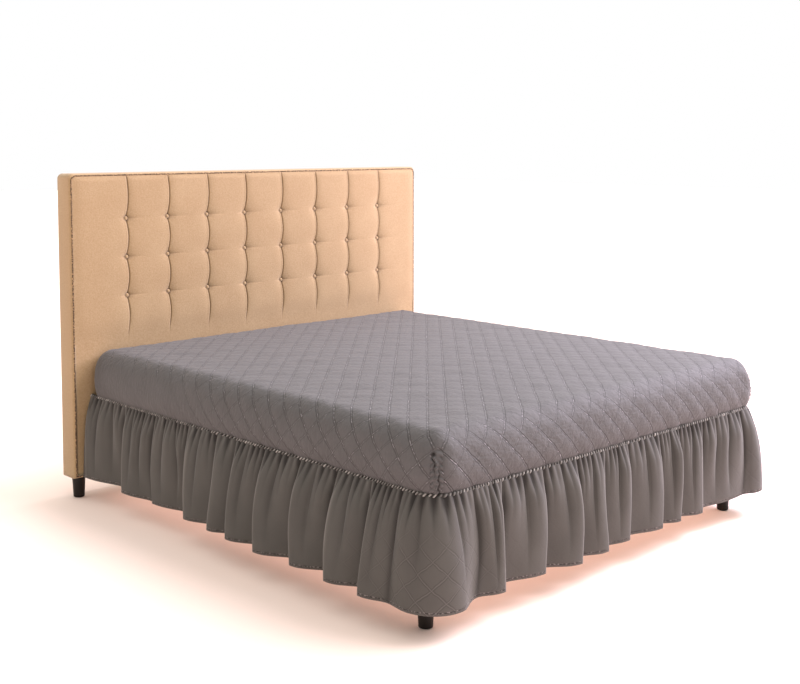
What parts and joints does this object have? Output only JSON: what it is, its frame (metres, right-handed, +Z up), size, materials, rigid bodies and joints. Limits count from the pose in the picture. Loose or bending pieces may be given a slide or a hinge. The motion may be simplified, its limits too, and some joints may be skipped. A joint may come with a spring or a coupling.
{
  "type": "quilted bed skirt on a bed",
  "caption": "Quilted bed cover with boxed corners and a gathered ruffle falling nearly to the floor on three sides, fitted on a plain bed with a tufted headboard.",
  "frame": {"origin": "on the floor, under the middle of the whole bed's box", "axes": "+X across the bed, from the left side to the right as seen from the foot; +Y from the foot to the headboard; +Z up"},
  "size_m": [1.9743, 2.1666, 1.352],
  "materials": {
    "quilted_cloth": "warm grey brushed cloth, quilted in diamonds",
    "ruffle_cloth": "warm grey brushed cloth, gathered",
    "mattress_ticking": "plain pale ticking",
    "base_cloth": "plain tan cloth",
    "headboard_cloth": "smooth tan upholstery cloth",
    "black_plastic": "satin black"
  },
  "bodies": {
    "root": {"quilted_cover": "quilted_cloth", "gathered_ruffle": "ruffle_cloth", "mattress": "mattress_ticking", "bed_base": "base_cloth", "headboard": "headboard_cloth", "leg_foot_left": "black_plastic", "leg_foot_right": "black_plastic", "leg_head_left": "black_plastic", "leg_head_right": "black_plastic"}
  },
  "joints": []
}
